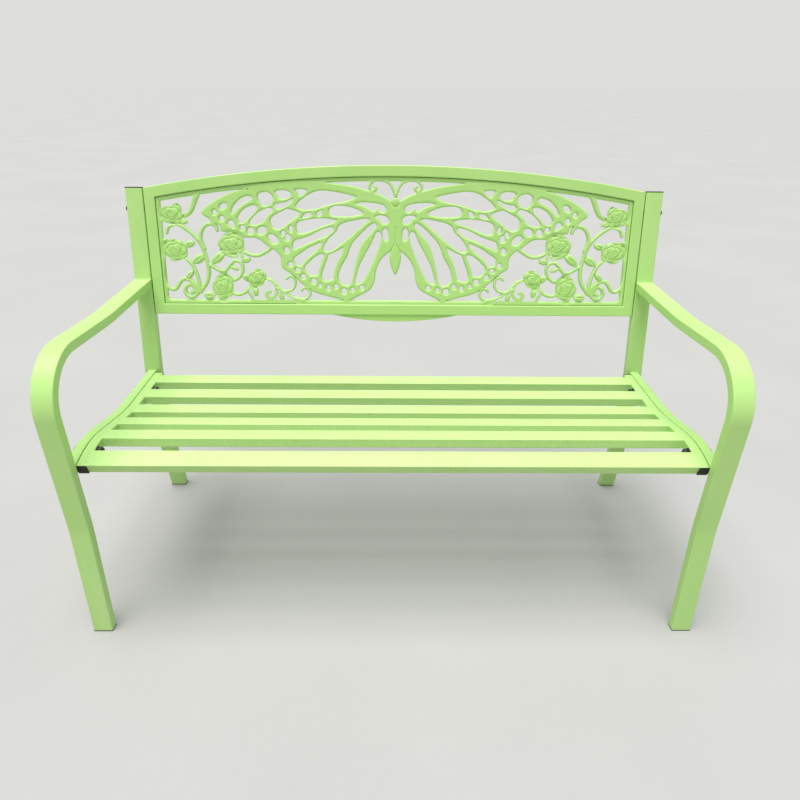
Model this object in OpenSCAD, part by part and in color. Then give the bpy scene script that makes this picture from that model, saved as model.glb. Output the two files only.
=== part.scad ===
// Garden bench of powder-coated steel tube. Two bent-tube side frames carry a bolted seat panel
// of six cross slats and an arched back frame that holds a cast insert with a butterfly between
// rose vines. Millimetres, +Z up, +X to the sitter's left, -Y is the front of the bench.
// The origin is on the ground, in the middle of the bench's bounding box.

/* [Overall] */
// Width over the outer faces of the side frames
bench_w = 1270; // [1230:10:1310]
// Height of the flat rear part of the arms, top face
arm_z = 596; // [586:1:606]
// Height of the flat rear part of the seat, top face
seat_z = 374; // [368:1:380]

/* [Side frame] */
// Width of the arm, leg and post tube, seen from the front
tube_w = 40; // [36:1:44]
// Thickness of the arm, leg and post tube, seen from the side
tube_t = 20; // [18:1:22]
// Wall of every steel tube
wall = 1.2; // [1.2:0.1:2]
// Backward lean of the posts, degrees
lean = 12.4; // [11:0.1:13.5]

/* [Seat] */
// Width of one slat, front to back
slat_w = 40; // [36:1:44]
// Distance from slat to slat, along the seat
slat_pitch = 75.5; // [72:0.5:77]

/* [Back] */
// Height of the arch above the ends of the top rail
arch_rise = 54.5; // [45:0.5:60]
// Visible width of the tubes of the back frame
bar = 25; // [22:1:28]

/* [Hidden] */
$fn = 48;

green = [0.64, 0.84, 0.42];
black = [0.08, 0.08, 0.09];
steel = [0.55, 0.56, 0.58];

half_w = bench_w / 2;
post_in = half_w - tube_w;          // inner face of the posts
plug_t = 2.5;                       // flange of a tube plug
plug_in = 14;                       // depth of a plug inside its tube
plug_gap = 0.3;                     // play of a plug inside its tube
bend_step = 6;                      // length of one flat along a bend

// A bent tube is a start [y, z, heading] and steps [straight, bend radius, bend angle] of its
// centre line in the side view, as on a tube bender. Headings are degrees from +Y towards +Z.
lean_foot_z = 358;                  // where the leaning line of the post meets the upright leg
lean_y = 496.9;                     // front face of the rear leg above its kick
post_len = 453.6;                   // leaning part of the post, from that corner to its top
post_r = 200;
kick_z = 150;                       // corner of the rear leg's backward kick
kick_a = 9;
arm_crest_r = 100;
arm_tilt = 4;
arm_ramp_r = 600;
leg_kick_a = 4.5;
leg_kick_r = 300;

post_top = [lean_y + post_len * sin(lean) + tube_t / 2 * cos(lean),
            lean_foot_z + post_len * cos(lean) - tube_t / 2 * sin(lean), 270 - lean];
function face_tan(a) = (post_r + tube_t / 2) * tan(a / 2);
post_steps = [[post_len - face_tan(lean), post_r, lean],
              [lean_foot_z - kick_z - face_tan(lean) - face_tan(kick_a), post_r, kick_a],
              [kick_z, 0, 0]];

arm_start = [565, arm_z - tube_t / 2, 180];
arm_steps = [[237, arm_ramp_r, -arm_tilt],
             [147, arm_crest_r, 90 + arm_tilt],
             [231, leg_kick_r, -leg_kick_a],
             [260, 0, 0]];

// The seat line runs from the rail's front end to its rear end.
rail_w = 20;
seat_t = 20;
nose_a = 15.6;
scoop_a = 10.2;
rail_lead = 24;                     // side rail in front of the seat rail
rail_tail = 30;                     // side rail behind the seat rail
seat_front = [57.2, seat_z + 3.9, nose_a];
function rail_steps(lead, tail) =
    [[16 + lead, 211, -nose_a - scoop_a], [90, 420, scoop_a], [154 + tail, 0, 0]];
seat_steps = rail_steps(0, 0);
side_rail_steps = rail_steps(rail_lead, rail_tail);
side_rail_in = half_w - tube_w / 2 - rail_w / 2;    // inner face of the welded side rail
seat_gap = 1.5;                                     // spacer between side rail and seat rail
seat_rail_in = side_rail_in - seat_gap - rail_w;

// Pose [y, z, heading] reached after one straight and one bend.
function along(p, d) = [p[0] + d * cos(p[2]), p[1] + d * sin(p[2]), p[2]];
side_rail_start = along(seat_front, -rail_lead);
function turned(p, r, a) =
    let (s = sign(a), b = p[2] + a)
    [p[0] + s * r * (sin(b) - sin(p[2])), p[1] - s * r * (cos(b) - cos(p[2])), b];
function arc_len(s) = s[1] * abs(s[2]) * PI / 180;
seat_len = seat_steps[0][0] + arc_len(seat_steps[0]) + seat_steps[1][0] + arc_len(seat_steps[1])
           + seat_steps[2][0];
function pose(p, steps, d, i = 0) =
    let (s = steps[i])
    d <= s[0] || i == len(steps) - 1 ? along(p, d)
    : d <= s[0] + arc_len(s)
        ? turned(along(p, s[0]), s[1], sign(s[2]) * (d - s[0]) * 180 / PI / s[1])
        : pose(turned(along(p, s[0]), s[1], s[2]), steps, d - s[0] - arc_len(s), i + 1);

// Back frame, in the plane of the posts' front faces: x across, v up the lean from the arm line.
ref_z = 595;
ref_y = lean_y + (ref_z - lean_foot_z) * tan(lean);
back_t = 20;
post_gap = 2;
frame_x = post_in - post_gap;
frame_low = -83.5;
frame_corner = 212;
arch_r = (frame_x * frame_x + arch_rise * arch_rise) / (2 * arch_rise);
arch_v = frame_corner + arch_rise - arch_r;         // centre of the arch, far below the bench

// Front edge of the front feet and rear edge of the arch set the middle of the bench.
leg_low = pose(arm_start, arm_steps, 237 + arc_len(arm_steps[0]) + 147 + arc_len(arm_steps[1])
               + 231 + arc_len(arm_steps[2]));
foot_y = leg_low[0] - leg_low[1] * tan(leg_kick_a) - tube_t / 2 / cos(leg_kick_a);
rear_y = ref_y + (frame_corner + arch_rise) * sin(lean) + back_t * cos(lean);
mid_y = (foot_y + rear_y) / 2;

insert_gap = 1.2;
insert_x = frame_x - bar - insert_gap;
insert_low = frame_low + bar + insert_gap;
insert_r = arch_r - bar - insert_gap;
insert_front = 2;
insert_t = 9;
border = 9;

// Seat bolts pass through side rail and seat rail, in the gaps beside the first and last slats.
bolt_r = 4;
seat_bolt_d = [51, 358];
head_r = 7;
washer_r = 8;
washer_t = 1.5;
back_bolt_v = [-40, 165];
back_bolt_r = 4;

// The side view's plane: +Y to the right and +Z up, extruded along +X.
module side_view() {
    rotate([90, 0, 90])
        children();
}

// The edge of a bar at o to the left of its centre line, as points along straights and bends.
function edge(p, steps, o, i = 0) =
    let (s = steps[i], q = along(p, s[0]), n = ceil(arc_len(s) / bend_step))
    concat([for (k = [i == 0 ? -1 : 0:n])
                let (t = k < 0 ? p : turned(q, s[1], s[2] * k / max(n, 1)))
                [t[0] - o * sin(t[2]), t[1] + o * cos(t[2])]],
           i == len(steps) - 1 ? [] : edge(turned(q, s[1], s[2]), steps, o, i + 1));
function reversed(list) = [for (i = [len(list) - 1:-1:0]) list[i]];

// A solid bar on a path, w thick in the side view and b wide from x0.
module path_solid(p, steps, w, b, x0) {
    translate([x0, 0, 0])
        side_view()
            linear_extrude(height = b)
                polygon(concat(edge(p, steps, w / 2), reversed(edge(p, steps, -w / 2))));
}

// A hollow tube on a path, open at both ends. Its void runs out past the ends.
module path_tube(p, steps, w, b, x0) {
    last = len(steps) - 1;
    longer = [for (i = [0:last])
        [steps[i][0] + (i == 0 ? 1 : 0) + (i == last ? 1 : 0), steps[i][1], steps[i][2]]];
    difference() {
        path_solid(p, steps, w, b, x0);
        path_solid(along(p, -1), longer, w - 2 * wall, b - 2 * wall, x0 + wall);
    }
}

// Side frames

module on_side(side) {
    translate([0, -mid_y, 0])
        mirror([side < 0 ? 1 : 0, 0, 0])
            children();
}

module below_ground_cut(h) {
    translate([0, -200, h - 100])
        cube([2000, 1200, 100]);
}

module post_solid(x0 = post_in, b = tube_w) {
    path_solid(post_top, post_steps, tube_t, b, x0);
}

module arm_leg(side) {
    color(green)
        on_side(side)
            difference() {
                path_tube(arm_start, arm_steps, tube_t, tube_w, post_in);
                below_ground_cut(plug_t);
                post_solid(post_in - 1, tube_w + 2);
            }
}

module back_post(side) {
    color(green)
        on_side(side)
            difference() {
                path_tube(post_top, post_steps, tube_t, tube_w, post_in);
                below_ground_cut(plug_t);
                for (v = back_bolt_v)
                    back_bolt_hole(v);
            }
}

module side_rail(side) {
    color(green)
        on_side(side)
            difference() {
                path_tube(side_rail_start, side_rail_steps, seat_t, rail_w, side_rail_in);
                path_solid(arm_start, arm_steps, tube_t, tube_w + 2, post_in - 1);
                post_solid(post_in - 1, tube_w + 2);
                seat_bolt_holes();
            }
}

// Seat

module seat_rail(side) {
    color(green)
        on_side(side)
            difference() {
                path_tube(seat_front, seat_steps, seat_t, rail_w, seat_rail_in);
                seat_bolt_holes();
            }
}

module at_pose(p) {
    translate([0, p[0], p[1]])
        rotate([p[2], 0, 0])
            children();
}

module seat_slat(i) {
    color(green)
        translate([-seat_rail_in, -mid_y, 0])
            at_pose(pose(seat_front, seat_steps, slat_w / 2 + i * slat_pitch))
                difference() {
                    translate([0, -slat_w / 2, -seat_t / 2])
                        cube([2 * seat_rail_in, slat_w, seat_t]);
                    translate([-1, -slat_w / 2 + wall, -seat_t / 2 + wall])
                        cube([2 * seat_rail_in + 2, slat_w - 2 * wall, seat_t - 2 * wall]);
                }
}

// Bolts, washers and cap nuts of the seat, along +X from the seat rail's inner face.

module at_seat_bolts() {
    for (d = seat_bolt_d)
        at_pose(pose(seat_front, seat_steps, d))
            rotate([0, 90, 0])
                children();
}

module seat_bolt_holes() {
    at_seat_bolts()
        translate([0, 0, seat_rail_in - 1])
            cylinder(r = bolt_r + 0.3, h = side_rail_in + rail_w - seat_rail_in + 2);
}

module dome(r, h) {
    rotate_extrude()
        intersection() {
            translate([0, h - (r * r + h * h) / (2 * h)])
                circle(r = (r * r + h * h) / (2 * h), $fn = 96);
            square([r, h]);
        }
}

module seat_bolts() {
    color(black)
        for (side = [-1, 1])
            on_side(side)
                at_seat_bolts() {
                    translate([0, 0, seat_rail_in - washer_t - 6])
                        cylinder(r = bolt_r, h = side_rail_in + rail_w - seat_rail_in + 2 * washer_t + 6);
                    translate([0, 0, side_rail_in + rail_w + washer_t])
                        dome(head_r, 4);
                }
}

module ring(r_out, r_in, h) {
    difference() {
        cylinder(r = r_out, h = h);
        translate([0, 0, -1])
            cylinder(r = r_in, h = h + 2);
    }
}

module seat_washers() {
    color(black)
        for (side = [-1, 1])
            on_side(side)
                at_seat_bolts()
                    for (x = [seat_rail_in - washer_t, side_rail_in - seat_gap, side_rail_in + rail_w])
                        translate([0, 0, x])
                            ring(washer_r, bolt_r + 0.3, washer_t);
}

module seat_cap_nuts() {
    color(black)
        for (side = [-1, 1])
            on_side(side)
                at_seat_bolts()
                    translate([0, 0, seat_rail_in - washer_t])
                        mirror([0, 0, 1])
                            difference() {
                                union() {
                                    cylinder(r = 7.2, h = 6.5, $fn = 6);
                                    translate([0, 0, 6.5])
                                        dome(6, 5);
                                }
                                translate([0, 0, -1])
                                    cylinder(r = bolt_r, h = 7);
                            }
}

// Back frame

module on_back() {
    translate([0, ref_y - mid_y, ref_z])
        rotate([-lean, 0, 0])
            children();
}

// Extrudes a front-view outline from depth d to d + h behind the posts' front faces.
module plate(d, h) {
    rotate([90, 0, 0])
        translate([0, 0, -d - h])
            linear_extrude(height = h)
                children();
}

module arch_band(r_out, r_in, x, d, h) {
    a = asin(x / r_in);
    intersection() {
        rotate([90, 0, 0])
            translate([0, arch_v, -d - h])
                rotate(90 - a)
                    rotate_extrude(angle = 2 * a, $fn = 720)
                        translate([r_in, 0])
                            square([r_out - r_in, h]);
        translate([-x, d - 1, 0])
            cube([2 * x, h + 2, 600]);
    }
}

module back_top_rail() {
    color(green)
        on_back()
            difference() {
                arch_band(arch_r, arch_r - bar, frame_x, 0, back_t);
                arch_band(arch_r - wall, arch_r - bar + wall, frame_x - bar, wall, back_t - 2 * wall);
            }
}

module back_bottom_rail() {
    color(green)
        on_back()
            difference() {
                translate([-frame_x + bar, 0, frame_low])
                    cube([2 * (frame_x - bar), back_t, bar]);
                translate([-frame_x + bar - 1, wall, frame_low + wall])
                    cube([2 * (frame_x - bar) + 2, back_t - 2 * wall, bar - 2 * wall]);
            }
}

module under_arch(r) {
    rotate([-90, 0, 0])
        translate([0, -arch_v, -1])
            cylinder(r = r, h = back_t + 2, $fn = 720);
}

module back_stile(side) {
    color(green)
        on_back()
            mirror([side < 0 ? 1 : 0, 0, 0])
                difference() {
                    intersection() {
                        translate([frame_x - bar, 0, frame_low])
                            cube([bar, back_t, 300]);
                        under_arch(arch_r - bar);
                    }
                    translate([frame_x - bar + wall, wall, frame_low - 1])
                        cube([bar - 2 * wall, back_t - 2 * wall, 400]);
                    for (v = back_bolt_v)
                        translate([frame_x + 1, back_t / 2, v])
                            rotate([0, -90, 0])
                                cylinder(r = back_bolt_r + 0.3, h = wall + 2);
                }
}

// Bolts through the posts into the stiles; z of the hole frame points along -X.

module at_back_bolt(v) {
    translate([0, ref_y, ref_z])
        rotate([-lean, 0, 0])
            translate([half_w, tube_t / 2, v])
                rotate([0, -90, 0])
                    children();
}

module back_bolt_hole(v) {
    at_back_bolt(v)
        translate([0, 0, -1])
            cylinder(r = back_bolt_r + 0.3, h = tube_w + 2);
}

module back_bolts() {
    color(black)
        for (side = [-1, 1])
            on_side(side)
                for (v = back_bolt_v)
                    at_back_bolt(v) {
                        translate([0, 0, -washer_t])
                            cylinder(r = back_bolt_r, h = washer_t + tube_w + post_gap + bar * 0.7);
                        translate([0, 0, -washer_t])
                            mirror([0, 0, 1])
                                dome(head_r, 4);
                    }
}

module back_washers() {
    color(black)
        for (side = [-1, 1])
            on_side(side)
                for (v = back_bolt_v)
                    at_back_bolt(v)
                        for (z = [-washer_t, tube_w])
                            translate([0, 0, z])
                                ring(washer_r, back_bolt_r + 0.3, z < 0 ? washer_t : post_gap);
}

// Plugs. Each has a flange the size of its tube and a plain spigot inside it.

module plug(w, b) {
    translate([-b / 2, -w / 2, 0])
        cube([b, w, plug_t]);
    translate([-b / 2 + wall + plug_gap, -w / 2 + wall + plug_gap, -plug_in])
        cube([b - 2 * (wall + plug_gap), w - 2 * (wall + plug_gap), plug_in]);
}

module post_caps() {
    color(black)
        for (side = [-1, 1])
            on_side(side)
                translate([post_in + tube_w / 2, post_top[0], post_top[1]])
                    rotate([-lean, 0, 0])
                        plug(tube_t, tube_w);
}

// A foot plug sits flat on the ground while its spigot follows the leaning leg.
module foot_plug(y, a) {
    translate([post_in + tube_w / 2, y, 0]) {
        intersection() {
            rotate([a, 0, 0])
                translate([-tube_w / 2, -tube_t / 2, -20])
                    cube([tube_w, tube_t, 40]);
            translate([-tube_w, -tube_t * 2, 0])
                cube([2 * tube_w, 4 * tube_t, plug_t]);
        }
        intersection() {
            rotate([a, 0, 0])
                translate([-tube_w / 2 + wall + plug_gap, -tube_t / 2 + wall + plug_gap, 0])
                    cube([tube_w - 2 * (wall + plug_gap), tube_t - 2 * (wall + plug_gap), plug_in]);
            translate([-tube_w, -tube_t * 2, plug_t / 2])
                cube([2 * tube_w, 4 * tube_t, 40]);
        }
    }
}

module foot_plugs_front() {
    color(black)
        for (side = [-1, 1])
            on_side(side)
                foot_plug(foot_y + tube_t / 2 / cos(leg_kick_a), -leg_kick_a);
}

module foot_plugs_rear() {
    color(black)
        for (side = [-1, 1])
            on_side(side)
                foot_plug(lean_y + kick_z * tan(kick_a) + tube_t / 2 / cos(kick_a), kick_a);
}

module seat_rail_plugs() {
    ends = [seat_front, pose(seat_front, seat_steps, seat_len)];
    color(black)
        for (side = [-1, 1], i = [0, 1])
            on_side(side)
                translate([seat_rail_in + rail_w / 2, 0, 0])
                    at_pose(ends[i])
                        rotate([i == 0 ? 90 : -90, 0, 0])
                            plug(seat_t, rail_w);
}

// Insert: one casting. All lists are [across, up] in the plane of the back, for the right half.
insert_design_x = 567.2;            // half width that these outlines are drawn for
kx = insert_x / insert_design_x;

// Outer edge of the wings, from the head round the tips to the abdomen.
wing_edge = [
    [3, 184], [12, 188], [20, 192.5], [32, 199], [60, 209], [100, 219], [141, 225], [179, 229], [233, 231],
    [300, 227], [349, 214], [385, 205], [414, 193], [437, 180], [458, 165], [463, 158], [460, 152],
    [446, 143], [440, 134], [422, 128], [418, 114], [385, 109], [369, 100], [334, 98], [309, 81],
    [290, 69], [279, 55], [276, 30], [262, 20], [246, 8], [237, -2], [218, -16], [199, -29],
    [178, -36], [149, -43], [125, -49], [108, -47], [80, -33], [63, -23], [52, -6], [46, 26],
    [36, 48], [22, 63], [9, 73], [2, 78]];

// Cells between the veins of the upper wing.
upper_cells = [
    [[389, 155], [392, 160], [388, 169], [380, 179], [370, 188], [357, 194], [344, 195],
     [339, 191], [345, 186], [356, 181], [367, 174], [376, 167], [383, 159]],
    [[378, 145], [372, 155], [362, 165], [349, 172], [336, 175], [329, 172], [331, 164],
     [339, 156], [349, 147], [358, 139], [366, 134], [373, 134]],
    [[326, 199], [317, 204], [305, 204], [295, 199], [291, 192], [294, 183], [302, 175],
     [312, 172], [318, 176], [323, 182], [327, 190]],
    [[350, 133], [348, 139], [340, 148], [330, 157], [315, 165], [301, 169], [292, 167],
     [293, 162], [301, 156], [308, 149], [313, 141], [321, 135], [333, 131], [344, 130]],
    [[300, 142], [293, 150], [282, 156], [270, 162], [259, 167], [248, 165], [229, 159],
     [231, 154], [240, 147], [251, 139], [262, 131], [270, 125], [278, 120], [287, 121],
     [294, 124], [298, 132]],
    [[290, 174], [284, 178], [272, 180], [260, 183], [250, 188], [243, 190], [246, 184],
     [254, 178], [263, 172], [273, 168], [282, 168]],
    [[287, 204], [279, 208], [267, 209], [255, 207], [248, 203], [248, 197], [254, 192],
     [263, 190], [273, 190], [279, 193], [282, 199]],
    [[238, 210], [224, 212], [210, 210], [215, 203], [221, 198], [227, 197], [231, 201],
     [234, 206]],
    [[238, 174], [232, 181], [224, 188], [211, 196], [198, 204], [184, 208], [168, 209],
     [150, 207], [125, 203], [94, 196], [110, 188], [125, 184], [141, 181], [156, 178],
     [171, 174], [184, 169], [197, 167], [212, 165], [225, 167], [234, 170]],
    [[225, 147], [219, 154], [211, 158], [202, 159], [200, 155], [204, 151], [214, 148]],
    [[190, 155], [185, 161], [179, 164], [175, 164], [176, 157], [179, 152], [184, 150]],
    [[159, 163], [156, 169], [147, 174], [130, 175], [112, 173], [95, 168], [78, 160],
     [80, 156], [95, 153], [112, 151], [130, 151], [147, 152], [156, 156]],
    [[95, 181], [82, 183], [68, 183], [52, 181], [36, 179], [26, 175], [22, 168], [27, 161],
     [35, 162], [41, 168], [45, 172], [49, 165], [55, 163], [64, 169], [76, 175]],
    [[404, 133], [397, 140], [389, 139], [385, 131], [384, 122], [388, 122], [395, 127]],
    [[309, 104], [304, 108], [296, 108], [288, 103], [282, 96], [282, 90], [287, 87],
     [296, 88], [302, 93]]];

// Cells of the lower wing, and the three small ones beside the body.
lower_cells = [
    [[50, 151], [40, 154], [28, 153], [19, 149], [16, 142], [20, 136], [29, 135], [36, 140],
     [42, 147]],
    [[30, 120], [25, 125], [19, 121], [17, 110], [18, 98], [22, 94], [28, 99], [31, 110]],
    [[50, 137], [45, 131], [57, 115], [70, 102], [80, 90], [87, 74], [93, 56], [100, 30],
     [105, 6], [110, -7], [117, -13], [127, -10], [136, -3], [139, 5], [137, 20], [130, 36],
     [118, 55], [111, 74], [103, 90], [86, 108], [66, 127]],
    [[41, 117], [35, 112], [34, 103], [37, 89], [43, 73], [52, 50], [60, 34], [68, 18],
     [75, 5], [82, -3], [90, -8], [97, -7], [98, 0], [94, 14], [88, 34], [80, 50], [70, 68],
     [59, 87], [51, 104], [46, 114]],
    [[125, 79], [140, 71], [153, 65], [161, 62], [165, 53], [169, 43], [174, 31], [178, 18],
     [180, 9], [176, 1], [169, -2], [160, 1], [152, 3], [151, 14], [147, 29], [142, 43],
     [134, 58], [128, 69]],
    [[173, 60], [178, 63], [184, 62], [193, 57], [203, 50], [212, 41], [220, 33], [222, 27],
     [217, 20], [210, 13], [201, 11], [192, 12], [189, 17], [187, 25], [183, 36], [178, 48]],
    [[247, 52], [246, 46], [242, 39], [236, 35], [230, 35], [225, 40], [219, 48], [211, 56],
     [202, 63], [193, 70], [187, 76], [183, 81], [178, 88], [181, 90], [190, 86], [202, 81],
     [215, 74], [227, 66], [238, 59]],
    [[60, 144], [72, 146], [86, 144], [102, 141], [120, 137], [131, 132], [138, 126],
     [141, 118], [148, 110], [157, 103], [164, 95], [170, 86], [175, 79], [173, 73], [166, 69],
     [156, 71], [145, 77], [133, 86], [118, 97], [107, 106], [95, 117], [83, 127], [71, 137]],
    [[238, 127], [235, 135], [224, 140], [210, 143], [196, 145], [178, 146], [160, 145],
     [140, 142], [149, 137], [163, 132], [178, 127], [193, 121], [208, 115], [224, 111],
     [235, 112]],
    [[148, 123], [150, 118], [156, 113], [164, 107], [175, 102], [187, 98], [199, 93],
     [212, 88], [224, 82], [235, 78], [243, 73], [248, 76], [248, 84], [245, 92], [237, 96],
     [226, 99], [214, 103], [202, 108], [190, 114], [177, 120], [164, 124], [153, 126]]];

// Oval holes along the wing margins: [across, up, half length, half width, turn].
beads = [
    [410, 172, 10, 6, -27], [431, 158, 5.5, 6, 0], [415, 144, 6.5, 6, 0], [367, 123, 6, 6, 0],
    [348, 116, 8.5, 7.5, -30], [321, 117, 12, 8.5, -22], [251, 121, 5, 7.5, 0],
    [270, 111, 6, 6, 0], [260, 101, 7, 8, 0], [263, 72, 7, 7, 0], [255, 38, 6.5, 5.5, 0],
    [238, 25, 6.5, 4.5, 0], [225, 9, 6.5, 6, 0], [200, -2, 7, 6.5, 0], [185, -12, 4.5, 4.5, 0],
    [164, -18, 5, 6.5, 0], [145, -14, 5.5, 5.5, 0], [126, -26, 7.5, 7, 0], [105, -22, 5, 5, 0],
    [82, -17, 6, 5.5, 0]];

// Stems, scrolls and antennae: [width at the start, width at the end, points].
stems = [
    [6.5, 7, [[0, 190], [2, 201], [8, 217], [16, 227], [28, 232.5], [40, 234], [51, 232], [59, 226],
              [62, 218], [58, 211], [50, 210], [46, 215], [49, 219]]],
    [13, 9, [[468, 202], [475, 188], [481, 174], [489, 159], [500, 151], [514, 147]]],
    [8, 10, [[562, 143], [532, 134], [508, 123], [488, 107], [474, 91], [466, 75], [460, 55],
             [456, 34], [456, 14], [462, -6], [472, -20], [480, -30]]],
    [8, 10, [[510, 51], [499, 41], [491, 28], [485, 12], [481, -6], [481, -22], [487, -34],
             [497, -42], [507, -42], [515, -35], [517, -25], [512, -16], [502, -13],
             [494, -19], [494, -28], [501, -31]]],
    [8, 10, [[562, -12], [554, -21], [545, -25], [537, -21], [529, -9], [520, 0], [510, 1],
             [500, -4], [489, -14], [482, -26]]],
    [8, 8, [[456, 38], [443, 30], [430, 22], [416, 13], [402, 3], [394, -1], [384, 4],
            [376, 13], [372, 26], [374, 38], [381, 44], [391, 45], [400, 38], [409, 27],
            [424, 13]]],
    [9, 8, [[462, 74], [468, 90], [469, 103], [465, 116], [457, 126], [447, 131], [437, 130],
            [430, 124], [428, 116]]],
    [8, 7, [[516, 131], [530, 129], [541, 125], [547, 118], [549, 109]]],
    [9, 8, [[368, 68], [358, 62], [344, 58], [330, 59], [317, 65], [306, 72], [298, 78]]],
    [8, 8, [[402, -31], [389, -36], [377, -34], [366, -28], [357, -17]]],
    [7, 8, [[328, 3], [315, 2], [304, -1], [296, -8], [292, -19], [293, -32], [299, -42],
            [309, -45], [317, -39], [316, -31], [309, -29]]],
    [6, 7, [[304, 0], [293, -10], [283, -22], [270, -32], [254, -41], [236, -46], [222, -46],
            [212, -39], [210, -28], [217, -20], [226, -19], [230, -25]]],
    [6, 7, [[285, -22], [274, -27], [262, -27], [252, -22], [246, -12], [246, 0], [252, 8],
            [260, 9], [266, 3]]],
    [6, 6, [[376, 62], [369, 50]]],
    [6, 6, [[360, -33], [354, -42], [352, -52]]]];

// Leaves and buds, then roses: [across, up, half length, half width, turn].
leaves = [
    [430, 52, 20, 10, -41], [477, 49, 16, 10, -35], [496, 84, 12, 8, -20],
    [502, 11, 12, 7, -50], [404, 64, 22, 9, 22], [393, 28, 11, 5, 25], [362, 47, 10, 7, -15],
    [458, -39, 13, 10, 0], [364, 4, 12, 7, 40], [344, -28, 13, 7, 80], [281, -40, 11, 6, 70],
    [510, 138, 13, 7, 20], [553, 87, 12, 9, 0], [419, 17, 9, 6, 35]];
roses = [
    [531, 70, 30, 27, 0], [396, 85, 33, 27, 0], [423, -18, 27, 31.5, 0], [339, 4, 26, 21, -52]];

// The opening rose in the upper corner, the abdomen's half outline and the head.
opening_rose = [
    [563, 164], [552, 168], [545, 173], [537, 171], [528, 176], [518, 179], [511, 171],
    [510, 160], [513, 150], [511, 141], [517, 133], [530, 130], [546, 133], [563, 136]];
abdomen = [
    [-1, 88], [3, 83], [8, 76], [12, 69], [13.8, 61], [13.8, 53], [12.6, 43], [9.6, 32],
    [5.5, 22], [2.5, 16], [0, 14.5], [-1, 14.5]];
head = [1.5, 184, 8, 10.5, 0];

function cubic(a, b, c, d, t) =
    0.5 * (2 * b + (c - a) * t + (2 * a - 5 * b + 4 * c - d) * t * t
           + (3 * b - a - 3 * c + d) * t * t * t);
function smooth_run(p, n) =
    let (m = len(p) - 1)
    [for (i = [0:m - 1], k = [0:n - 1])
        cubic(p[max(i - 1, 0)], p[i], p[i + 1], p[min(i + 2, m)], k / n), p[m]];
function stretched(p) = [for (q = p) [q[0] * kx, q[1]]];
function unit(v) = v / norm(v);

module egg(e, n = 14) {
    translate([e[0] * kx, e[1]])
        rotate(e[4])
            polygon([for (i = [0:n - 1]) [e[2] * cos(360 * i / n), e[3] * sin(360 * i / n)]]);
}

// A leaf: an oval drawn out to a point at both ends.
module leaf(e, n = 20) {
    translate([e[0] * kx, e[1]])
        rotate(e[4])
            polygon([for (i = [0:n - 1])
                let (s = sin(360 * i / n))
                [e[2] * 1.1 * cos(360 * i / n), e[3] * s * pow(abs(s), 0.4)]]);
}

// A rose seen from the front: an oval with five shallow lobes.
module rose(e, n = 30) {
    translate([e[0] * kx, e[1]])
        rotate(e[4])
            polygon([for (i = [0:n - 1])
                let (a = 360 * i / n, k = 1 - 0.05 + 0.05 * cos(5 * a))
                [e[2] * k * cos(a), e[3] * k * sin(a)]]);
}

// A band of changing width along a smooth run, with round ends.
module stem(s) {
    run = smooth_run(stretched(s[2]), 2);
    m = len(run) - 1;
    half = [for (i = [0:m]) (s[0] + (s[1] - s[0]) * i / m) / 2];
    side = [for (i = [0:m])
        let (t = unit(run[min(i + 1, m)] - run[max(i - 1, 0)])) [-t[1], t[0]]];
    polygon([for (i = [0:m]) run[i] + side[i] * half[i],
             for (i = [m:-1:0]) run[i] - side[i] * half[i]]);
    for (i = [0, m])
        translate(run[i])
            circle(r = half[i], $fn = 14);
}

module wing() {
    difference() {
        polygon(concat([[-1, 184]], stretched(wing_edge), [[-1, 78]]));
        for (c = concat(upper_cells, lower_cells))
            polygon(stretched(c));
        for (e = beads)
            egg(e);
    }
}

module half_pattern() {
    wing();
    for (s = stems)
        stem(s);
    for (e = leaves)
        leaf(e);
    polygon(stretched(opening_rose));
    for (e = roses)
        rose(e);
    polygon(abdomen);
    egg(head);
    polygon([[insert_x - 1, insert_low + 1], [insert_x - border - 10, insert_low + 1],
             [insert_x - 1, insert_low + border + 16]]);
}

module inside_arch(x, low, r) {
    intersection() {
        translate([-x, low])
            square([2 * x, 400]);
        translate([0, arch_v])
            circle(r = r, $fn = 900);
    }
}

module butterfly_insert() {
    color(green)
        on_back()
            plate(insert_front, insert_t)
                offset(delta = -1)
                    offset(delta = 1) {
                        difference() {
                            inside_arch(insert_x, insert_low, insert_r);
                            inside_arch(insert_x - border, insert_low + border, insert_r - border);
                        }
                        intersection() {
                            inside_arch(insert_x - 1, insert_low + 1, insert_r - 1);
                            for (m = [0, 1])
                                mirror([m, 0])
                                    half_pattern();
                        }
                    }
}

// Flat steel ledge welded all round inside the back frame; the insert's border lies on it and
// is held by screws from behind.
ledge_t = 3;
ledge_d = insert_front + insert_t;
ledge_reach = 7;
screw_r = 2;

screw_in = ledge_reach - 3.5;
screw_places = [
    for (side = [-1, 1], v = [0, 150]) [side * (insert_x - screw_in), v],
    for (x = [-350, 0, 350]) [x, insert_low + screw_in]];

module insert_ledge() {
    x = frame_x - bar;
    low = frame_low + bar;
    r = arch_r - bar;
    reach = insert_gap + ledge_reach;
    color(green)
        on_back()
            plate(ledge_d, ledge_t)
                difference() {
                    inside_arch(x, low, r);
                    inside_arch(x - reach, low + reach, r - reach);
                    for (place = screw_places)
                        translate(place)
                            circle(r = screw_r + 0.2);
                }
}

module insert_screws() {
    color(steel)
        on_back()
            for (place = screw_places)
                translate([place[0], 0, place[1]])
                    rotate([-90, 0, 0]) {
                        translate([0, 0, ledge_d + ledge_t])
                            dome(3.5, 1.8);
                        translate([0, 0, ledge_d])
                            cylinder(r = screw_r, h = ledge_t);
                    }
}

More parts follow.
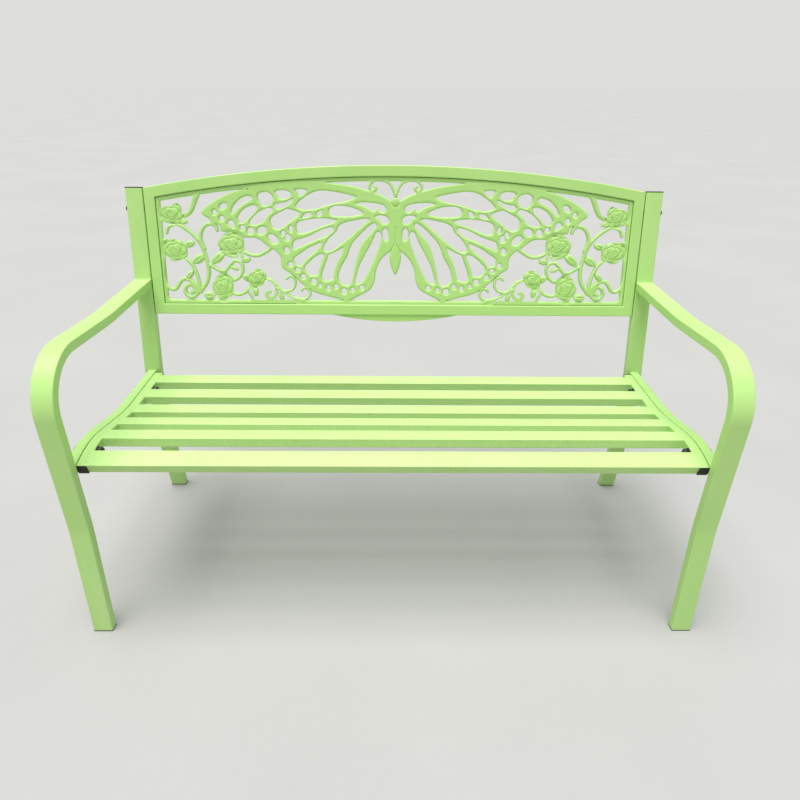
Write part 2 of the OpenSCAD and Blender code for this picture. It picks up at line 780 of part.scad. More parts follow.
arm_leg(1);  // arm_leg_left
arm_leg(-1);  // arm_leg_right
back_post(1);  // back_post_left
back_post(-1);  // back_post_right
side_rail(1);  // side_rail_left
side_rail(-1);  // side_rail_right
seat_rail(1);  // seat_rail_left
seat_rail(-1);  // seat_rail_right
seat_slat(0);  // seat_slat_1
seat_slat(1);  // seat_slat_2
seat_slat(2);  // seat_slat_3
seat_slat(3);  // seat_slat_4
seat_slat(4);  // seat_slat_5
seat_slat(5);  // seat_slat_6
back_top_rail();
back_bottom_rail();
back_stile(1);  // back_stile_left
back_stile(-1);  // back_stile_right
butterfly_insert();
insert_ledge();
insert_screws();
post_caps();
foot_plugs_front();
foot_plugs_rear();
seat_rail_plugs();
seat_bolts();
seat_washers();
seat_cap_nuts();
back_bolts();
back_washers();
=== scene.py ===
"""The looks of the garden bench: rounded powder-coated tubes, the relief of the cast insert
and its fastenings, on a plain pale floor under soft studio light. Lengths in metres."""
import math

import bmesh
import bpy
import numpy as np
from mathutils import Matrix, Vector
from mathutils.geometry import delaunay_2d_cdt
from mathutils.kdtree import KDTree


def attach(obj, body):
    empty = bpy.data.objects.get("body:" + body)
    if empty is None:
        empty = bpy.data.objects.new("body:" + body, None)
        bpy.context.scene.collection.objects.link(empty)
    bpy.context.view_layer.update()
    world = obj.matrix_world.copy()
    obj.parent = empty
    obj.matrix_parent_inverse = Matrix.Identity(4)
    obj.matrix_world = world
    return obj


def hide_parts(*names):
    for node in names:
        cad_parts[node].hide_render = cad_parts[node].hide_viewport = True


MM = 0.001
TINY = 1e-5
TUBE_CORNER = 2.2 * MM          # outside corner radius of the rolled tubes
CORNER_PARTS = 4                # flats round each corner of a tube
PLUG_EDGE = 0.8 * MM
METAL_EDGE = 0.5 * MM

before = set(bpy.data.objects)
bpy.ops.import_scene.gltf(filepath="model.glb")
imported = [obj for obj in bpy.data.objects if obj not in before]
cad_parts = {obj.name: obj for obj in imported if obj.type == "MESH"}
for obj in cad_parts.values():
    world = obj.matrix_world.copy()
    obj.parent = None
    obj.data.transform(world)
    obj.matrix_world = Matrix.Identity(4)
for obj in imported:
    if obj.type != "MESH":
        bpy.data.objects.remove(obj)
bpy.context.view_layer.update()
ACROSS = Vector((1, 0, 0))
SIDES = ("left", "right")
SIDE_TUBES = [f"{part}_{side}" for part in ("arm_leg", "back_post", "side_rail", "seat_rail")
              for side in SIDES]
SLATS = [f"seat_slat_{i}" for i in range(1, 7)]
BACK_TUBES = ["back_top_rail", "back_bottom_rail", "back_stile_left", "back_stile_right"]
PLUGS = ["post_caps", "foot_plugs_front", "foot_plugs_rear", "seat_rail_plugs"]
FASTENERS = ["seat_bolts", "seat_washers", "seat_cap_nuts", "back_bolts", "back_washers"]


# Materials

class Paint:
    """A material under construction: its nodes, wired from object coordinates in metres."""

    def __init__(self, name):
        self.material = bpy.data.materials.new(name)
        self.material.use_nodes = True
        self.tree = self.material.node_tree
        self.shader = self.tree.nodes["Principled BSDF"]
        self.place = self.tree.nodes.new("ShaderNodeTexCoord").outputs["Object"]

    def link(self, source, target):
        self.tree.links.new(source, target)

    def noise(self, size, detail=2.0, roughness=0.5):
        """Smooth noise from 0 to 1 whose features are about size metres across."""
        node = self.tree.nodes.new("ShaderNodeTexNoise")
        node.inputs["Scale"].default_value = 1 / size
        node.inputs["Detail"].default_value = detail
        node.inputs["Roughness"].default_value = roughness
        self.link(self.place, node.inputs["Vector"])
        return node.outputs["Fac"]

    def spread(self, source, low, high, start=0.3, end=0.7):
        """Maps source from start..end to low..high."""
        node = self.tree.nodes.new("ShaderNodeMapRange")
        self.link(source, node.inputs["Value"])
        for socket, value in (("From Min", start), ("From Max", end),
                              ("To Min", low), ("To Max", high)):
            node.inputs[socket].default_value = value
        return node.outputs["Result"]

    def times(self, first, second):
        node = self.tree.nodes.new("ShaderNodeMath")
        node.operation = "MULTIPLY"
        self.link(first, node.inputs[0])
        self.link(second, node.inputs[1])
        return node.outputs["Value"]

    def blend(self, factor, first, second):
        """Colour mixed from first to second by factor; each colour is a tuple or a socket."""
        node = self.tree.nodes.new("ShaderNodeMix")
        node.data_type = "RGBA"
        self.link(factor, node.inputs[0])
        for socket, colour in ((node.inputs[6], first), (node.inputs[7], second)):
            if isinstance(colour, tuple):
                socket.default_value = (*colour, 1)
            else:
                self.link(colour, socket)
        return node.outputs[2]

    def edges(self, start, end):
        """0 on flat faces, rising to 1 on sharp convex edges."""
        geometry = self.tree.nodes.new("ShaderNodeNewGeometry")
        return self.spread(geometry.outputs["Pointiness"], 0, 1, start, end)

    def bumps(self, *layers):
        """Bump from (height socket, height in metres) layers."""
        normal = None
        for height, distance in layers:
            node = self.tree.nodes.new("ShaderNodeBump")
            node.inputs["Strength"].default_value = 1
            node.inputs["Distance"].default_value = distance
            self.link(height, node.inputs["Height"])
            if normal:
                self.link(normal, node.inputs["Normal"])
            normal = node.outputs["Normal"]
        self.link(normal, self.shader.inputs["Normal"])


def powder_coat(name, grain):
    """Light apple-green powder coat. Its orange peel lies over a grain that deep, in metres."""
    paint = Paint(name)
    mottle = paint.spread(paint.noise(90 * MM, 3), 0, 1)
    colour = paint.blend(mottle, GREEN, GREEN_LIGHT)
    dust = paint.times(paint.spread(paint.noise(16 * MM, 5, 0.7), 0, 1, 0.52, 0.75),
                       paint.spread(paint.noise(140 * MM), 0, 0.35))
    colour = paint.blend(dust, colour, GREEN_DUSTY)
    worn = paint.times(paint.edges(0.53, 0.6), paint.spread(paint.noise(5 * MM, 4), 0, 0.55))
    paint.link(paint.blend(worn, colour, GREEN_WORN), paint.shader.inputs["Base Color"])
    paint.link(paint.spread(paint.noise(12 * MM, 4), 0.34, 0.47), paint.shader.inputs["Roughness"])
    paint.bumps((paint.noise(2.2 * MM, 1), 0.05 * MM), (paint.noise(9 * MM, 3), grain))
    return paint.material


def moulded_black():
    """Matte black plastic of the tube plugs, with a fine mould grain."""
    paint = Paint("moulded_black")
    tone = paint.spread(paint.noise(20 * MM, 4), 0, 1)
    colour = paint.blend(tone, (0.006, 0.006, 0.007), (0.012, 0.012, 0.013))
    colour = paint.blend(paint.edges(0.52, 0.62), colour, (0.03, 0.03, 0.029))
    paint.link(colour, paint.shader.inputs["Base Color"])
    paint.link(paint.spread(paint.noise(3 * MM, 3), 0.5, 0.66), paint.shader.inputs["Roughness"])
    paint.bumps((paint.noise(0.5 * MM, 2), 0.03 * MM))
    return paint.material


def coated_steel(name, dark, light, rough, metallic):
    """Coated or plated fastener steel, rubbed brighter on its edges."""
    paint = Paint(name)
    colour = paint.blend(paint.spread(paint.noise(4 * MM, 4), 0, 1), dark, light)
    rubbed = tuple(min(1.0, channel * 3 + 0.03) for channel in light)
    colour = paint.blend(paint.edges(0.54, 0.7), colour, rubbed)
    paint.link(colour, paint.shader.inputs["Base Color"])
    paint.shader.inputs["Metallic"].default_value = metallic
    paint.link(paint.spread(paint.noise(2 * MM, 3), rough, rough + 0.15),
               paint.shader.inputs["Roughness"])
    paint.bumps((paint.noise(0.8 * MM, 2), 0.02 * MM))
    return paint.material


def studio_floor():
    paint = Paint("studio_floor")
    tone = paint.spread(paint.noise(0.6, 4), 0, 1)
    paint.link(paint.blend(tone, (0.375, 0.375, 0.368), (0.395, 0.395, 0.388)),
               paint.shader.inputs["Base Color"])
    paint.link(paint.spread(paint.noise(0.02, 4), 0.7, 0.85), paint.shader.inputs["Roughness"])
    paint.bumps((paint.noise(4 * MM, 3), 0.1 * MM))
    return paint.material


GREEN = (0.42, 0.69, 0.205)
GREEN_LIGHT = (0.45, 0.71, 0.225)
GREEN_DUSTY = (0.47, 0.68, 0.26)
GREEN_WORN = (0.56, 0.78, 0.32)
STEEL_PAINT = powder_coat("powder_coat_on_steel", 0.04 * MM)
CASTING_PAINT = powder_coat("powder_coat_on_casting", 0.14 * MM)
BLACK_PLASTIC = moulded_black()
BLACK_BOLTS = coated_steel("black_bolts", (0.006, 0.006, 0.007), (0.012, 0.012, 0.014), 0.34, 0.0)
ZINC = coated_steel("zinc_screws", (0.42, 0.43, 0.45), (0.58, 0.59, 0.61), 0.3, 1.0)


# Meshes

def shown(name, bm, material, slot, *nodes, smooth_below=40):
    """Makes a piece of the bench from a bmesh; it stands for the CAD nodes named."""
    mesh = bpy.data.meshes.new(name)
    bm.to_mesh(mesh)
    bm.free()
    mesh.shade_smooth()
    mesh.set_sharp_from_angle(angle=math.radians(smooth_below))
    mesh.materials.append(material)
    piece = bpy.data.objects.new(name, mesh)
    bpy.context.scene.collection.objects.link(piece)
    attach(piece, "root")
    if nodes:
        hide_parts(*nodes)
    return piece


def keep_flats(piece):
    """Shades flat faces flat, so that only the rounded edges between them catch the light."""
    weighted = piece.modifiers.new("flat_faces", "WEIGHTED_NORMAL")
    weighted.keep_sharp = True
    weighted.weight = 100


def cad_copy(node):
    """A bmesh of a CAD node with its corners merged and its flat faces joined."""
    bm = bmesh.new()
    bm.from_mesh(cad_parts[node].data)
    bmesh.ops.remove_doubles(bm, verts=bm.verts, dist=TINY / 10)
    bmesh.ops.dissolve_limit(bm, angle_limit=math.radians(0.3), verts=bm.verts, edges=bm.edges)
    return bm


def rounded(bm, edges, radius, segments):
    bmesh.ops.bevel(bm, geom=edges, offset=radius, offset_type="OFFSET", segments=segments,
                    profile=0.5, affect="EDGES", clamp_overlap=False)


def largest_normal(bm):
    return max(bm.faces, key=lambda face: face.calc_area()).normal.copy()


def corner_edges(bm, across):
    """The edges along a tube's outer corners. There a strip as wide as the tube, measured
    along across, meets one of its two flat sides."""
    reach = {vert: vert.co.dot(across) for vert in bm.verts}
    low, high = min(reach.values()), max(reach.values())

    def touches(face):
        ends = set()
        for vert in face.verts:
            at_low = reach[vert] < low + TINY
            at_high = reach[vert] > high - TINY
            ends.add("low" if at_low else "high" if at_high else "between")
        return ends

    return [edge for edge in bm.edges if len(edge.link_faces) == 2
            and sorted(len(touches(face)) for face in edge.link_faces) == [1, 2]
            and not any("between" in touches(face) for face in edge.link_faces)]


def rounded_tube(node, across=None, longer=0.0):
    """A tube with rounded corners. A cross tube can run on at both ends, into its welds."""
    bm = cad_copy(node)
    rounded(bm, corner_edges(bm, across or largest_normal(bm)), TUBE_CORNER, CORNER_PARTS)
    for vert in bm.verts:
        vert.co.x += math.copysign(longer, vert.co.x)
    keep_flats(shown(f"tube_{node}", bm, STEEL_PAINT, "painted_steel", node))


def softened(node, width, material, slot, steepest=50):
    """A CAD node with every convex edge sharper than steepest degrees rounded off."""
    bm = cad_copy(node)
    edges = [edge for edge in bm.edges if len(edge.link_faces) == 2 and edge.is_convex
             and edge.calc_face_angle() > math.radians(steepest)]
    rounded(bm, edges, width, 3)
    keep_flats(shown(f"soft_{node}", bm, material, slot, node))


for name in SIDE_TUBES:
    rounded_tube(name, ACROSS)
for name in SLATS:
    rounded_tube(name, longer=TUBE_CORNER)
for name in PLUGS:
    softened(name, PLUG_EDGE, BLACK_PLASTIC, "black_plastic")
for name in FASTENERS:
    softened(name, METAL_EDGE, BLACK_BOLTS, "black_bolts")
softened("insert_ledge", METAL_EDGE, STEEL_PAINT, "painted_steel")
softened("insert_screws", METAL_EDGE / 2, ZINC, "zinc_screws")


# Relief of the insert. Its plane has x to the bench's left, y up the lean from PATTERN_ZERO and
# height out of the plate from its back. Roses and leaves are [x, y, half length, half width,
# turn in degrees] on the left half, in millimetres; the right half mirrors them.

PATTERN_ZERO = 57.7             # up from the insert's lower edge
ROSES = [(532, 155, 29, 25, 15), (531, 70, 30, 27, 0), (396, 85, 33, 27, 0),
         (423, -18, 27, 31.5, 0), (339, 4, 26, 21, -52)]
LEAVES = [(430, 52, 20, 10, -41), (477, 49, 16, 10, -35), (496, 84, 12, 8, -20),
          (502, 11, 12, 7, -50), (404, 64, 22, 9, 22), (393, 28, 11, 5, 25),
          (362, 47, 10, 7, -15), (458, -39, 13, 10, 0), (364, 4, 12, 7, 40),
          (344, -28, 13, 7, 80), (281, -40, 11, 6, 70), (510, 138, 13, 7, 20)]
ABDOMEN = (14.5, 57, 88, 13.8)   # lowest, widest and highest place, half width
HEAD = (0, 184, 9.5, 10.5, 0)
PETALS = [(5, 0.60, 0.54, 0), (5, 0.44, 0.42, 40), (3, 0.24, 0.36, 10)]  # number, reach, size, turn
BUD = 0.36                      # reach of the rolled petals in the middle of a rose
WING_TOP = [(0, 184), (32, 199), (60, 209), (100, 219), (141, 225), (179, 229), (233, 231),
            (300, 227), (349, 214), (385, 205), (414, 193)]
BORDER = 9                      # width of the flat border round the pattern
BORDER_DROP = 1.0               # how far the border lies below the pattern
OUTLINE_STEP = 2.0              # spacing of points along the outlines
RING_DEPTHS = (0.6, 1.7)        # rows of points that follow the outlines inside them
COARSE, FINE = 2.8, 1.1         # spacing of points on plain faces and on flowers
OPEN_RADIUS = 4.5               # rounding beside the openings
RIM_RADIUS = 1.2                # rounding beside the frame
BACK_CHAMFER = 1.0              # height of the chamfer round the back
FILLET = 1.3                    # rounding of the outlines' own corners
SHARP_TURN = 50                 # degrees; sharper corners of an outline get only the fillet


def insert_axes():
    """Origin and axes of the insert: the middle of its lower edge on the back face, then the
    directions across, up the lean and out of the front."""
    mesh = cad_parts["butterfly_insert"].data
    out = Vector()
    for face in mesh.polygons:
        if face.normal.y < -0.8:
            out += face.normal * face.area
    out.normalize()
    up = out.cross(ACROSS)
    low_up = min(vert.co.dot(up) for vert in mesh.vertices)
    low_out = min(vert.co.dot(out) for vert in mesh.vertices)
    return up * (low_up + PATTERN_ZERO * MM) + out * low_out, up, out


def flat_outlines(origin, up, out):
    """Outlines of the insert's front face in millimetres, with the metal on their left."""
    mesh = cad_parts["butterfly_insert"].data
    flat = np.array([((vert.co - origin).dot(ACROSS), (vert.co - origin).dot(up),
                      (vert.co - origin).dot(out)) for vert in mesh.vertices]) / MM
    thick = flat[:, 2].max()
    keys = [tuple(np.round(point[:2], 3)) for point in flat]
    mesh.calc_loop_triangles()
    sides = set()
    for triangle in mesh.loop_triangles:
        if all(flat[i, 2] > thick - 0.01 for i in triangle.vertices):
            corners = [keys[i] for i in triangle.vertices]
            sides.update(zip(corners, corners[1:] + corners[:1]))
    following = {a: b for a, b in sides if (b, a) not in sides}
    outlines = []
    while following:
        start, point = following.popitem()
        outline = [start]
        while point != start:
            outline.append(point)
            point = following.pop(point)
        outlines.append(np.array(outline))
    return outlines, thick


def unit_rows(vectors):
    return vectors / np.maximum(np.linalg.norm(vectors, axis=1, keepdims=True), 1e-9)


def smooth_outline(points):
    """A closed curve through points, with corners filleted, in even steps."""
    after = np.roll(points, -1, 0) - points
    length = np.linalg.norm(after, axis=1)
    ahead = unit_rows(after)
    behind = np.roll(ahead, 1, 0)
    tangent = unit_rows(ahead + behind)
    corner = (ahead * behind).sum(1) < math.cos(math.radians(SHARP_TURN))
    leave = np.where(corner[:, None], ahead, tangent)
    arrive = np.roll(np.where(corner[:, None], behind, tangent), -1, 0)
    curve = []
    for i, start in enumerate(points):
        t = np.arange(0, 1, 0.5 / max(length[i], 0.5))[:, None]
        end = points[(i + 1) % len(points)]
        curve.append((2 * t**3 - 3 * t**2 + 1) * start + (3 * t**2 - 2 * t**3) * end
                     + ((t**3 - 2 * t**2 + t) * leave[i] + (t**3 - t**2) * arrive[i]) * length[i])
    curve = np.vstack(curve)
    along = np.concatenate([[0], np.cumsum(np.linalg.norm(np.roll(curve, -1, 0) - curve, axis=1))])
    count = max(12, int(along[-1] / OUTLINE_STEP))
    even = np.linspace(0, along[-1], count, endpoint=False)
    closed = np.vstack([curve, curve[:1]])
    wave = np.fft.fft(np.interp(even, along, closed[:, 0])
                      + 1j * np.interp(even, along, closed[:, 1]))
    blur = np.exp(-2 * (math.pi * FILLET * np.fft.fftfreq(count, along[-1] / count)) ** 2)
    smooth = np.fft.ifft(wave * blur * (2 - blur))
    return np.column_stack([smooth.real, smooth.imag])


class Outlines:
    """Smooth outlines that answer how far inside them points lie."""

    def __init__(self, loops):
        self.points = np.vstack(loops)
        starts = np.cumsum([0] + [len(loop) for loop in loops])
        self.after = np.concatenate([np.roll(np.arange(a, b), -1)
                                     for a, b in zip(starts, starts[1:])])
        self.before = np.argsort(self.after)
        self.tree = KDTree(len(self.points))
        for i, point in enumerate(self.points):
            self.tree.insert((point[0], point[1], 0), i)
        self.tree.balance()
        along = unit_rows(self.points[self.after] - self.points[self.before])
        self.inward = np.column_stack([-along[:, 1], along[:, 0]])

    def depth(self, points):
        """Distance of each point from the outlines, negative outside the metal."""
        near = np.array([self.tree.find((x, y, 0))[1] for x, y in points], int)
        best = np.full(len(points), 1e9)
        for first in (near, self.before[near]):
            start = self.points[first]
            side = self.points[self.after[first]] - start
            share = ((points - start) * side).sum(1) / (side**2).sum(1)
            gap = points - start - side * np.clip(share, 0, 1)[:, None]
            best = np.minimum(best, np.linalg.norm(gap, axis=1))
        inside = ((points - self.points[near]) * self.inward[near]).sum(1)
        return best * np.sign(inside)

    def holds(self, points):
        """Whether each point lies in the metal, from the outlines' turns round it."""
        start, end = self.points, self.points[self.after]
        upward = np.sign(end[:, 1] - start[:, 1])
        run = (end[:, 0] - start[:, 0]) / np.where(upward == 0, 1, end[:, 1] - start[:, 1])
        found = []
        for x, y in points:
            level = (start[:, 1] > y) != (end[:, 1] > y)
            crossing = level & (start[:, 0] + (y - start[:, 1]) * run > x)
            found.append(upward[crossing].sum() > 0)
        return np.array(found, bool)


def grid(low, high, step):
    """Points of a triangular grid between two corners."""
    rows = np.arange(low[1], high[1], step * math.sqrt(3) / 2)
    columns = np.arange(low[0], high[0], step)
    x = columns[None, :] + (np.arange(len(rows))[:, None] % 2) * step / 2
    return np.column_stack([x.ravel(), np.repeat(rows, len(columns))])


def oval(points, shape):
    """Coordinates of points along and across an oval, with its outline at distance 1."""
    x, y, long, wide, turn = shape
    c, s = math.cos(math.radians(turn)), math.sin(math.radians(turn))
    dx, dy = points[:, 0] - x, points[:, 1] - y
    return (c * dx + s * dy) / long, (c * dy - s * dx) / wide


def round_edge(depth, radius):
    """How far a rounded edge lies below the full height at each depth inside the outline."""
    t = 1 - np.clip(depth / radius, 0, 1)
    return radius * (1 - np.sqrt(1 - t**2))


def leaf_height(points, shape, top):
    """A leaf: domed, with a groove along the middle."""
    along, across = oval(points, shape)
    reach = np.hypot(along, across)
    height = top - 3.6 + 3.6 * np.sqrt(np.clip(1.15 - reach**2, 0, 1))
    height -= 1.3 * np.exp(-(across / 0.13) ** 2) * np.clip(1.1 - np.abs(along), 0, 1)
    return height, reach


def rose_height(points, shape, top):
    """A rose: layers of cupped petals that overlap round a rolled bud."""
    along, across = oval(points, shape)
    reach, angle = np.hypot(along, across), np.arctan2(across, along)
    wide = min(shape[2], shape[3])
    height = np.full(len(points), top - 4.6)
    for layer, (number, offset, size, turn) in enumerate(PETALS):
        for petal in range(number):
            way = math.radians(turn + 360 * petal / number)
            outward = along * math.cos(way) + across * math.sin(way) - offset
            sideways = across * math.cos(way) - along * math.sin(way)
            t = np.hypot(outward, sideways) / size
            face = top - 2.4 + 0.7 * layer + 0.7 * sideways / size
            face -= 1.9 * (1 - np.sqrt(np.clip(1 - t**2, 0, 1))) - 0.5 * outward / size
            height -= 0.9 * np.exp(-((t - 1) * size * wide / 1.3) ** 2)
            height = np.where(t < 1, np.maximum(height, face), height)
    roll = (reach / 0.17 - angle / (2 * math.pi)) % 1
    bud = top - 0.3 - 1.3 * np.exp(-((roll - 0.5) / 0.2) ** 2)
    height = np.where(reach < BUD, bud, height)
    return np.minimum(height, top), reach


def abdomen_reach(points):
    """0 on the middle line of the abdomen, 1 on its pointed outline."""
    bottom, middle, top, half = ABDOMEN
    y = points[:, 1]
    share = (y - middle) / np.where(y > middle, top - middle, middle - bottom)
    return np.abs(points[:, 0]) / (half * np.clip(1 - share**2, 0.001, 1))


def body_height(points, top):
    """Height of the head and abdomen, and the depth of the grooves round them."""
    reach = abdomen_reach(points)
    height = top - 2.6 + 2.6 * np.sqrt(np.clip(1.1 - reach**2, 0, 1))
    high = points[:, 1] > ABDOMEN[1] + 5
    below_tip = points[:, 1] < ABDOMEN[2]
    gap = (reach - 1) * np.abs(points[:, 0]) / np.maximum(reach, 0.01)
    grooves = 1.6 * np.exp(-(gap / 1.3) ** 2) * (high & below_tip)
    seam = ~below_tip & (points[:, 1] < ABDOMEN[2] + 40)
    grooves += 1.3 * np.exp(-(points[:, 0] / 1.4) ** 2) * seam
    round_head = np.hypot(*oval(points, HEAD))
    grooves += 1.3 * np.exp(-((round_head - 1) * HEAD[2] / 1.3) ** 2)
    head = top - 2.2 + 2.2 * np.sqrt(np.clip(1.1 - round_head**2, 0, 1))
    return np.where(reach < 1, height, head), np.minimum(reach, round_head), grooves


def border_drop(points, depth):
    """How far the border lies below the pattern. The wings stay raised where they cross it."""
    inner = np.clip((depth - BORDER) / 1.5, 0, 1)
    along, up = np.array(WING_TOP).T
    wing = np.interp(np.abs(points[:, 0]), along, up, right=0) - points[:, 1]
    raised = np.where(points[:, 1] > 180, np.sqrt(np.clip(wing / 2.5, 0, 1)), 0)
    return BORDER_DROP * (1 - np.maximum(inner, raised))


def relief_height(points, openings, rim, top):
    """Height of the casting's front at each point, over its back."""
    mirrored = np.column_stack([np.abs(points[:, 0]), points[:, 1]])
    height = np.full(len(points), top - 0.9)
    for shape in LEAVES:
        leaf, reach = leaf_height(mirrored, shape, top)
        height = np.where(reach < 1, leaf, height)
    for shape in ROSES:
        rose, reach = rose_height(mirrored, shape, top)
        behind = height - 2.4 * np.clip((1.25 - reach) / 0.25, 0, 1)
        height = np.where(reach < 1, rose, behind)
    body, reach, grooves = body_height(points, top)
    height = np.where(reach < 1, body, height) - grooves
    height = np.minimum(height, top - round_edge(openings.depth(points), OPEN_RADIUS))
    inward = rim.depth(points)
    height = np.minimum(height, top - round_edge(inward, RIM_RADIUS))
    return height - border_drop(points, inward) * np.clip((height - top + OPEN_RADIUS) / 1.5, 0, 1)


def on_flower(points):
    mirrored = np.column_stack([np.abs(points[:, 0]), points[:, 1]])
    found = np.zeros(len(points), bool)
    for shape in ROSES + LEAVES + [HEAD]:
        found |= np.hypot(*oval(mirrored, shape)) < 1.05
    return found | ((mirrored[:, 0] < ABDOMEN[3] + 1) & (points[:, 1] < ABDOMEN[2] + 42))


def insert_relief():
    """The cast insert: a triangulated relief within smooth outlines, walls and a flat back."""
    origin, up, out = insert_axes()
    outlines, thick = flat_outlines(origin, up, out)
    outlines.sort(key=lambda loop: -np.ptp(loop[:, 0]))
    loops = [smooth_outline(loop) for loop in outlines]
    rim, openings, both = Outlines(loops[:1]), Outlines(loops[1:]), Outlines(loops)
    parts = [both.points]
    for depth in RING_DEPTHS:
        row = both.points + both.inward * depth
        parts.append(row[both.depth(row) > 0.85 * depth])
    low, high = both.points.min(0), both.points.max(0)
    for step, flowers in ((COARSE, False), (FINE, True)):
        cells = grid(low, high, step)
        cells = cells[on_flower(cells) == flowers]
        parts.append(cells[both.depth(cells) > RING_DEPTHS[-1] + 0.6 * step])
    points = np.vstack(parts)
    border = len(both.points)
    sides = [(i, int(both.after[i])) for i in range(border)]
    found = delaunay_2d_cdt([Vector(point) for point in points], sides, [], 0, 1e-7)
    corners, faces = np.array([vert[:] for vert in found[0]]), np.array(found[2])
    given = np.array([origins[0] if origins else -1 for origins in found[3]])
    on_border = (given >= 0) & (given < border)
    centre = corners[faces].mean(1)
    doubtful = on_border[faces].all(1)
    keep = ~doubtful
    keep[doubtful] = both.holds(centre[doubtful])
    faces = faces[keep]
    height = relief_height(corners, openings, rim, thick)
    wall = np.where(given < len(loops[0]), thick - RIM_RADIUS - BORDER_DROP, thick - OPEN_RADIUS)
    height = np.where(on_border, wall, height)

    def place(flat, z):
        return origin + (ACROSS * flat[0] + up * flat[1] + out * z) * MM

    bm = bmesh.new()
    front = [bm.verts.new(place(flat, z)) for flat, z in zip(corners, height)]
    for face in faces:
        bm.faces.new([front[i] for i in face])
    index = {g: i for i, origins in enumerate(found[3]) for g in origins if g < border}
    low_wall = [bm.verts.new(place(point, BACK_CHAMFER)) for point in both.points]
    inset = both.points + both.inward * BACK_CHAMFER * 0.6
    back = [bm.verts.new(place(point, 0)) for point in inset]
    for i, j in sides:
        bm.faces.new([front[index[j]], front[index[i]], low_wall[i], low_wall[j]])
        bm.faces.new([low_wall[j], low_wall[i], back[i], back[j]])
    lower = delaunay_2d_cdt([Vector(point) for point in both.points], sides, [], 0, 1e-7)
    kept = [back[origins[0]] if origins else bm.verts.new(place(spot, 0))
            for spot, origins in zip(lower[0], lower[3])]
    middle = np.array([vert[:] for vert in lower[0]])[np.array(lower[2])].mean(1)
    for face, metal in zip(lower[2], both.holds(middle)):
        if metal:
            bm.faces.new([kept[i] for i in reversed(face)])
    shown("cast_insert", bm, CASTING_PAINT, "painted_casting", "butterfly_insert",
          smooth_below=60)


insert_relief()


# Back frame

ARCH_STATIONS = 81              # places along the arch where the ring's outline is set


def ring_profile(depth_low, depth_high, wide):
    """Rounded outline of the back frame's tube: [share of its width, depth]."""
    middle_x, middle_z = wide / 2, (depth_low + depth_high) / 2
    flat_x, flat_z = wide / 2 - TUBE_CORNER, (depth_high - depth_low) / 2 - TUBE_CORNER
    profile = []
    for quarter, (right, high) in enumerate(((1, 1), (-1, 1), (-1, -1), (1, -1))):
        for part in range(CORNER_PARTS + 1):
            angle = math.radians(90 * (quarter + part / CORNER_PARTS))
            profile.append(((middle_x + right * flat_x + TUBE_CORNER * math.cos(angle)) / wide,
                            middle_z + high * flat_z + TUBE_CORNER * math.sin(angle)))
    return profile


def back_frame_ring():
    """The back frame as one ring: its four tubes are mitred, welded and ground flush."""
    origin, up, out = insert_axes()

    def flat(node):
        return np.array([((vert.co - origin).dot(ACROSS), (vert.co - origin).dot(up),
                          (vert.co - origin).dot(out))
                         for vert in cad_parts[node].data.vertices])

    arch, bottom = flat("back_top_rail"), flat("back_bottom_rail")
    half, top, low = arch[:, 0].max(), arch[:, 1].max(), bottom[:, 1].min()
    bar = np.ptp(bottom[:, 1])
    rise = top - arch[arch[:, 0] > half - TINY, 1].max()
    radius = (half**2 + rise**2) / (2 * rise)
    stations = []
    for t in np.linspace(-1, 1, ARCH_STATIONS):
        pair = []
        for r, x in ((radius, half), (radius - bar, half - bar)):
            angle = math.asin(x / r) * t
            pair.append((r * math.sin(angle), top - radius + r * math.cos(angle)))
        stations.append(pair)
    stations.append([(half, low), (half - bar, low + bar)])
    stations.append([(-half, low), (-half + bar, low + bar)])
    profile = ring_profile(arch[:, 2].min(), arch[:, 2].max(), bar)
    bm = bmesh.new()
    rows = []
    for (x0, y0), (x1, y1) in stations:
        rows.append([bm.verts.new(origin + ACROSS * (x0 + (x1 - x0) * share)
                                  + up * (y0 + (y1 - y0) * share) + out * depth)
                     for share, depth in profile])
    for row, after in zip(rows, rows[1:] + rows[:1]):
        for i in range(len(profile)):
            j = (i + 1) % len(profile)
            bm.faces.new([row[i], row[j], after[j], after[i]])
    bmesh.ops.recalc_face_normals(bm, faces=bm.faces)
    keep_flats(shown("back_frame", bm, STEEL_PAINT, "painted_steel", *BACK_TUBES))


back_frame_ring()


# Stage, light and camera

FLOOR_HALF = 40                 # half the floor's width
CAMERA_PLACE = (-0.0068, -1.2182, 1.0538)
CAMERA_DOWN, CAMERA_LEFT_TURN, CAMERA_ROLL = 28.55, -0.875, 0.668
FOCAL_LENGTH = 27.45            # mm, on a 36 mm wide sensor


def make_floor():
    bm = bmesh.new()
    bmesh.ops.create_grid(bm, x_segments=20, y_segments=20, size=FLOOR_HALF)
    mesh = bpy.data.meshes.new("floor")
    bm.to_mesh(mesh)
    bm.free()
    mesh.materials.append(studio_floor())
    floor = bpy.data.objects.new("floor", mesh)
    bpy.context.scene.collection.objects.link(floor)


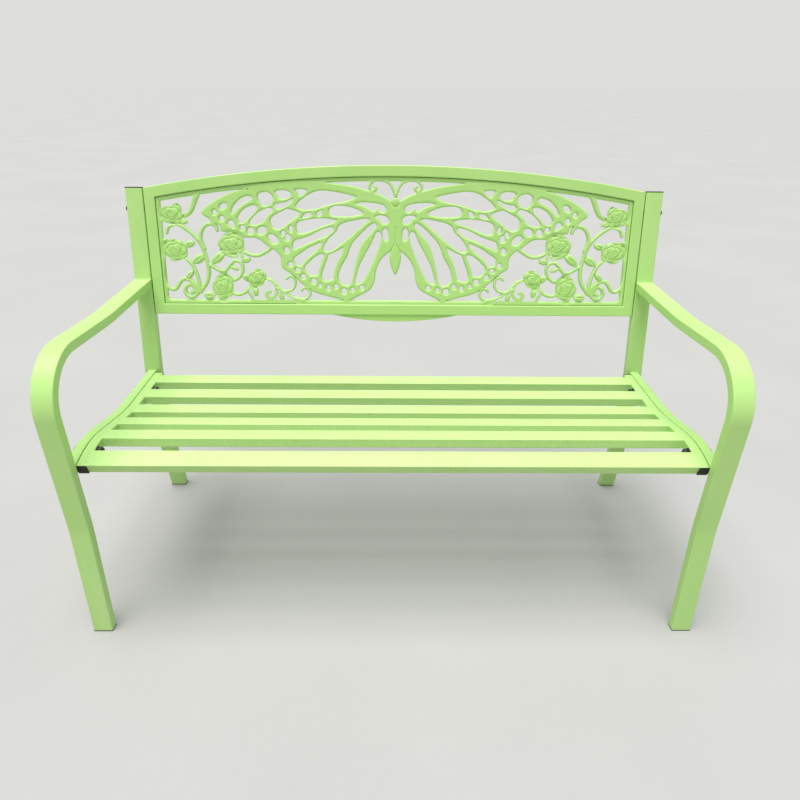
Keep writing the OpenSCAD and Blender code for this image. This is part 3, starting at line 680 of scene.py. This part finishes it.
def soft_sun(name, toward, spread, power, colour):
    """Even light from the direction toward, as wide as spread degrees of sky."""
    lamp = bpy.data.lights.new(name, "SUN")
    lamp.angle = math.radians(spread)
    lamp.energy = power
    lamp.color = colour
    holder = bpy.data.objects.new(name, lamp)
    holder.rotation_euler = Vector(toward).to_track_quat("Z", "Y").to_euler()
    bpy.context.scene.collection.objects.link(holder)


def make_world(colour, strength, backdrop):
    """Even light from all round, in front of a backdrop that only the camera sees."""
    world = bpy.data.worlds.new("studio")
    world.use_nodes = True
    tree = world.node_tree
    light = tree.nodes["Background"]
    light.inputs["Color"].default_value = (*colour, 1)
    light.inputs["Strength"].default_value = strength
    seen = tree.nodes.new("ShaderNodeBackground")
    seen.inputs["Color"].default_value = (*backdrop, 1)
    seen.inputs["Strength"].default_value = 1
    choice = tree.nodes.new("ShaderNodeMixShader")
    path = tree.nodes.new("ShaderNodeLightPath")
    tree.links.new(path.outputs["Is Camera Ray"], choice.inputs[0])
    tree.links.new(light.outputs["Background"], choice.inputs[1])
    tree.links.new(seen.outputs["Background"], choice.inputs[2])
    tree.links.new(choice.outputs["Shader"], tree.nodes["World Output"].inputs["Surface"])
    bpy.context.scene.world = world


def make_camera():
    lens = bpy.data.cameras.new("camera")
    lens.sensor_width = 36
    lens.lens = FOCAL_LENGTH
    camera = bpy.data.objects.new("camera", lens)
    heading = Matrix.Rotation(math.radians(CAMERA_LEFT_TURN), 4, "Z")
    tilt = Matrix.Rotation(math.radians(90 - CAMERA_DOWN), 4, "X")
    roll = Matrix.Rotation(math.radians(CAMERA_ROLL), 4, "Z")
    camera.matrix_world = Matrix.Translation(CAMERA_PLACE) @ heading @ tilt @ roll
    bpy.context.scene.collection.objects.link(camera)
    bpy.context.scene.camera = camera


make_floor()
make_world((0.97, 0.99, 1.0), 0.50, (0.725, 0.73, 0.705))
soft_sun("overhead", (-0.12, -0.10, 0.99), 40, 4.3, (1.0, 0.99, 0.97))
make_camera()
bpy.context.scene.view_settings.view_transform = "Standard"
